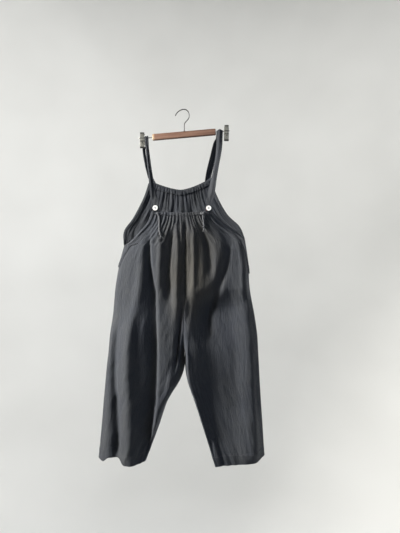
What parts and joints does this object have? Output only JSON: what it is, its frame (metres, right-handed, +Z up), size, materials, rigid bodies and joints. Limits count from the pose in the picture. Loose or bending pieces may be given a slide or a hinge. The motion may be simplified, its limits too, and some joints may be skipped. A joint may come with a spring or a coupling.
{
  "type": "overalls on a wooden clip hanger",
  "caption": "Loose cropped linen overalls with a gathered neckline and buttoned straps, hanging over the rod of a wooden clip hanger with a steel hook.",
  "frame": {"origin": "inner top of the hanger's hook, where a nail, peg or rail carries it", "axes": "+Z up, -Y to the front of the garment, +X to the right as the front is seen"},
  "size_m": [0.643, 0.1405, 1.3386],
  "materials": {
    "linen": "charcoal plain-weave linen, matt, softly crinkled",
    "drawstring": "charcoal linen cord, matt",
    "button": "white, satin",
    "wood": "reddish brown, satin lacquer",
    "steel": "dull plated steel",
    "dark_steel": "darkened steel wire",
    "pad": "matt black"
  },
  "bodies": {
    "root": {"front_left": "linen", "front_right": "linen", "back_left": "linen", "back_right": "linen", "front_casing": "linen", "back_casing": "linen", "armhole_binding_left": "linen", "armhole_binding_right": "linen", "strap_left": "linen", "strap_right": "linen", "pocket_edge_left": "linen", "pocket_edge_right": "linen", "button_left": "button", "drawstring_left": "drawstring", "drawstring_knot_left": "drawstring", "clip_barrel_left": "steel", "clip_plate_front_left": "steel", "clip_pad_front_left": "pad", "clip_plate_back_left": "steel", "clip_pad_back_left": "pad", "button_right": "button", "drawstring_right": "drawstring", "drawstring_knot_right": "drawstring", "clip_barrel_right": "steel", "clip_plate_front_right": "steel", "clip_pad_front_right": "pad", "clip_plate_back_right": "steel", "clip_pad_back_right": "pad", "hanger_bar": "wood", "hanger_rod": "steel", "hanger_hook": "dark_steel"}
  },
  "joints": []
}
